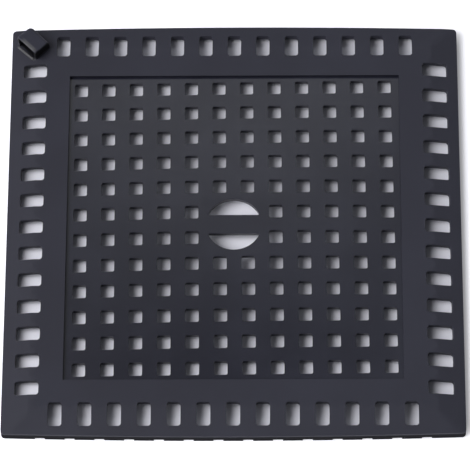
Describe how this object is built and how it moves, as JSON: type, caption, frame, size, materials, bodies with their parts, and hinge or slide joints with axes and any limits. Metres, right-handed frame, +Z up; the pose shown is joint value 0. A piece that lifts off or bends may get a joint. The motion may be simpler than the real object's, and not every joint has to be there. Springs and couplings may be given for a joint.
{
  "type": "drain strainer cover",
  "caption": "Square moulded drain strainer cover: a slotted border round a sunken, crowned panel of square holes, with a lifting bar in the middle and a small lifting hood on one corner.",
  "frame": {"origin": "middle of the cover, level with the lower edge of the rim that it stands on", "axes": "+Z up out of the top face, +X along the straight sides' spacing with the lifting bar along it, +Y towards the corner hood's end, the hood being at -X +Y"},
  "size_m": [0.15, 0.1488, 0.0102],
  "materials": {
    "dark_rubber": "matte"
  },
  "bodies": {
    "root": {"strainer": "dark_rubber"}
  },
  "joints": []
}
